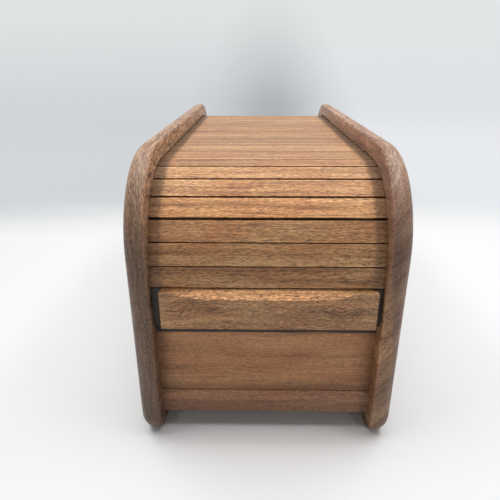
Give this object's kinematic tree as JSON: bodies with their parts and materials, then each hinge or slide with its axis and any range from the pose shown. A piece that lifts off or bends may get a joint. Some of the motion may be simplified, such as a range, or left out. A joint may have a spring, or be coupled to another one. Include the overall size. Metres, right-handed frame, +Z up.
{
  "type": "tambour lid box",
  "caption": "Wooden box with rounded sides and a slatted tambour lid that slides up and back round the corners to open the front.",
  "frame": {"origin": "on the table, under the middle of the box", "axes": "+X to the right seen from the front, +Y to the back, +Z up"},
  "size_m": [0.173, 0.392, 0.195],
  "materials": {
    "side_wood": "oiled hardwood, dark brown with short pores, edges rounded and sanded",
    "panel_wood": "oiled hardwood boards, warm brown",
    "lid_wood": "oiled hardwood slats, lighter brown, grain along the slat",
    "dowel_wood": "plain dowel",
    "canvas": "cotton canvas glued to the slats"
  },
  "bodies": {
    "case": {"left_side": "side_wood", "right_side": "side_wood", "front_panel": "panel_wood", "front_rail": "panel_wood", "back_rail": "panel_wood", "bottom_board": "panel_wood", "inner_back": "panel_wood", "lid_stops": "dowel_wood"},
    "lid_run": {"slat_08": "lid_wood", "slat_09": "lid_wood", "slat_10": "lid_wood", "slat_11": "lid_wood", "slat_12": "lid_wood", "slat_13": "lid_wood", "slat_14": "lid_wood", "slat_15": "lid_wood", "slat_16": "lid_wood", "slat_17": "lid_wood", "slat_18": "lid_wood", "slat_19": "lid_wood", "slat_20": "lid_wood", "slat_21": "lid_wood", "slat_22": "lid_wood", "canvas_run": "canvas"},
    "lead": {"lead_slat": "lid_wood", "lead_bar": "lid_wood", "canvas_lead": "canvas"},
    "slat_01": {"slat_01": "lid_wood", "canvas_01": "canvas"},
    "slat_02": {"slat_02": "lid_wood", "canvas_02": "canvas"},
    "slat_03": {"slat_03": "lid_wood", "canvas_03": "canvas"},
    "slat_04": {"slat_04": "lid_wood", "canvas_04": "canvas"},
    "slat_05": {"slat_05": "lid_wood", "canvas_05": "canvas"},
    "slat_06": {"slat_06": "lid_wood", "canvas_06": "canvas"},
    "slat_07": {"slat_07": "lid_wood", "canvas_07": "canvas"},
    "slat_23": {"slat_23": "lid_wood"},
    "slat_24": {"slat_24": "lid_wood"},
    "slat_25": {"slat_25": "lid_wood"},
    "slat_26": {"slat_26": "lid_wood"},
    "slat_27": {"slat_27": "lid_wood"},
    "slat_28": {"slat_28": "lid_wood"},
    "slat_29": {"slat_29": "lid_wood"},
    "slat_30": {"slat_30": "lid_wood"},
    "slat_31": {"slat_31": "lid_wood"},
    "slat_32": {"slat_32": "lid_wood"},
    "slat_33": {"slat_33": "lid_wood"}
  },
  "joints": [
    {"name": "lid_slide", "type": "slide", "parent": "case", "child": "lid_run", "axis": [0, 1, 0], "range_m": [0, 0.06]},
    {"name": "lead_turn", "type": "hinge", "parent": "case", "child": "lead", "pos_m": [0, -0.1003, 0.112], "axis": [-1, 0, 0], "range_deg": [0, 40]},
    {"name": "slat_01_turn", "type": "hinge", "parent": "case", "child": "slat_01", "pos_m": [0, -0.12908, 0.1213], "axis": [-1, 0, 0], "range_deg": [0, 61.41]},
    {"name": "slat_02_turn", "type": "hinge", "parent": "case", "child": "slat_02", "pos_m": [0, -0.12992, 0.12231], "axis": [-1, 0, 0], "range_deg": [0, 62.79]},
    {"name": "slat_03_turn", "type": "hinge", "parent": "case", "child": "slat_03", "pos_m": [0, -0.12954, 0.12245], "axis": [-1, 0, 0], "range_deg": [0, 62.66]},
    {"name": "slat_04_turn", "type": "hinge", "parent": "case", "child": "slat_04", "pos_m": [0, -0.12695, 0.11876], "axis": [-1, 0, 0], "range_deg": [0, 58.03]},
    {"name": "slat_05_turn", "type": "hinge", "parent": "case", "child": "slat_05", "pos_m": [0, -0.11959, 0.09664], "axis": [-1, 0, 0], "range_deg": [0, 41.85]},
    {"name": "slat_06_turn", "type": "hinge", "parent": "case", "child": "slat_06", "pos_m": [0, -0.1116, 0.0268], "axis": [-1, 0, 0], "range_deg": [0, 22.66]},
    {"name": "slat_07_turn", "type": "hinge", "parent": "case", "child": "slat_07", "pos_m": [0, -0.10074, -0.44215], "axis": [-1, 0, 0], "range_deg": [0, 5.56]},
    {"name": "slat_23_turn", "type": "hinge", "parent": "case", "child": "slat_23", "pos_m": [0, 0.09937, -0.6511], "axis": [-1, 0, 0], "range_deg": [0, 4.15]},
    {"name": "slat_24_turn", "type": "hinge", "parent": "case", "child": "slat_24", "pos_m": [0, 0.11085, 0.01451], "axis": [-1, 0, 0], "range_deg": [0, 20.97]},
    {"name": "slat_25_turn", "type": "hinge", "parent": "case", "child": "slat_25", "pos_m": [0, 0.12042, 0.09432], "axis": [-1, 0, 0], "range_deg": [0, 41.06]},
    {"name": "slat_26_turn", "type": "hinge", "parent": "case", "child": "slat_26", "pos_m": [0, 0.12741, 0.11774], "axis": [-1, 0, 0], "range_deg": [0, 57.62]},
    {"name": "slat_27_turn", "type": "hinge", "parent": "case", "child": "slat_27", "pos_m": [0, 0.13017, 0.12202], "axis": [-1, 0, 0], "range_deg": [0, 62.8]},
    {"name": "slat_28_turn", "type": "hinge", "parent": "case", "child": "slat_28", "pos_m": [0, 0.13041, 0.12174], "axis": [-1, 0, 0], "range_deg": [0, 62.76]},
    {"name": "slat_29_turn", "type": "hinge", "parent": "case", "child": "slat_29", "pos_m": [0, 0.12978, 0.12081], "axis": [-1, 0, 0], "range_deg": [0, 61.64]},
    {"name": "slat_30_turn", "type": "hinge", "parent": "case", "child": "slat_30", "pos_m": [0, 0.11809, 0.11528], "axis": [-1, 0, 0], "range_deg": [0, 50.21]},
    {"name": "slat_31_turn", "type": "hinge", "parent": "case", "child": "slat_31", "pos_m": [0, 0.07857, 0.10743], "axis": [-1, 0, 0], "range_deg": [0, 31.76]},
    {"name": "slat_32_turn", "type": "hinge", "parent": "case", "child": "slat_32", "pos_m": [0, -0.09384, 0.09817], "axis": [-1, 0, 0], "range_deg": [0, 12.29]},
    {"name": "slat_33_turn", "type": "hinge", "parent": "case", "child": "slat_33", "pos_m": [0, -2.78675, 0.08601], "axis": [-1, 0, 0], "range_deg": [0, 1.17]}
  ],
  "couplings": [
    {"joint": "lead_turn", "follows": "lid_slide", "rad_per_m": 11.631},
    {"joint": "slat_01_turn", "follows": "lid_slide", "rad_per_m": 17.859},
    {"joint": "slat_02_turn", "follows": "lid_slide", "rad_per_m": 18.263},
    {"joint": "slat_03_turn", "follows": "lid_slide", "rad_per_m": 18.225},
    {"joint": "slat_04_turn", "follows": "lid_slide", "rad_per_m": 16.878},
    {"joint": "slat_05_turn", "follows": "lid_slide", "rad_per_m": 12.171},
    {"joint": "slat_06_turn", "follows": "lid_slide", "rad_per_m": 6.5891},
    {"joint": "slat_07_turn", "follows": "lid_slide", "rad_per_m": 1.6132},
    {"joint": "slat_23_turn", "follows": "lid_slide", "rad_per_m": 1.2038},
    {"joint": "slat_24_turn", "follows": "lid_slide", "rad_per_m": 6.098},
    {"joint": "slat_25_turn", "follows": "lid_slide", "rad_per_m": 11.94},
    {"joint": "slat_26_turn", "follows": "lid_slide", "rad_per_m": 16.76},
    {"joint": "slat_27_turn", "follows": "lid_slide", "rad_per_m": 18.264},
    {"joint": "slat_28_turn", "follows": "lid_slide", "rad_per_m": 18.254},
    {"joint": "slat_29_turn", "follows": "lid_slide", "rad_per_m": 17.927},
    {"joint": "slat_30_turn", "follows": "lid_slide", "rad_per_m": 14.604},
    {"joint": "slat_31_turn", "follows": "lid_slide", "rad_per_m": 9.2359},
    {"joint": "slat_32_turn", "follows": "lid_slide", "rad_per_m": 3.5717},
    {"joint": "slat_33_turn", "follows": "lid_slide", "rad_per_m": 0.33647}
  ]
}
